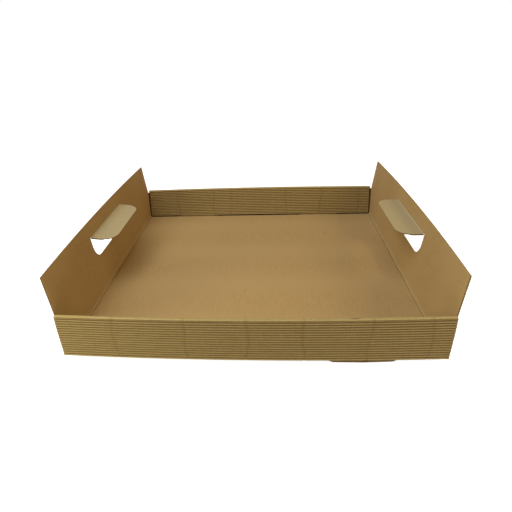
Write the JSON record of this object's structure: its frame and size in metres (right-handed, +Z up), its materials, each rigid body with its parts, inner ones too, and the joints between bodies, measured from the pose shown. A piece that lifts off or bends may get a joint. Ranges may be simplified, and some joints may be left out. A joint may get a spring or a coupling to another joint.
{
  "type": "cardboard tray box",
  "caption": "Shallow fluted kraft tray with low rolled front and back walls, high side panels and folding hand-hole flaps.",
  "frame": {"origin": "under the middle of the tray, level with the lowest point of the hanging tab at the front right", "axes": "+X from the left high side panel to the right one, +Y from the front rolled wall to the back one, +Z up"},
  "size_m": [0.438, 0.418, 0.1056],
  "materials": {
    "kraft_board": "matte",
    "kraft_flap": "matte"
  },
  "bodies": {
    "tray": {"tray_sheet": "kraft_board"},
    "left_flap": {"left_handle_flap": "kraft_flap"},
    "right_flap": {"right_handle_flap": "kraft_flap"}
  },
  "joints": [
    {"name": "left_flap_hinge", "type": "hinge", "parent": "tray", "child": "left_flap", "pos_m": [-0.21515, 0, 0.0856], "axis": [0, -1, 0], "range_deg": [-78.5, 91]},
    {"name": "right_flap_hinge", "type": "hinge", "parent": "tray", "child": "right_flap", "pos_m": [0.21515, 0, 0.0856], "axis": [0, 1, 0], "range_deg": [-84.5, 85]}
  ]
}
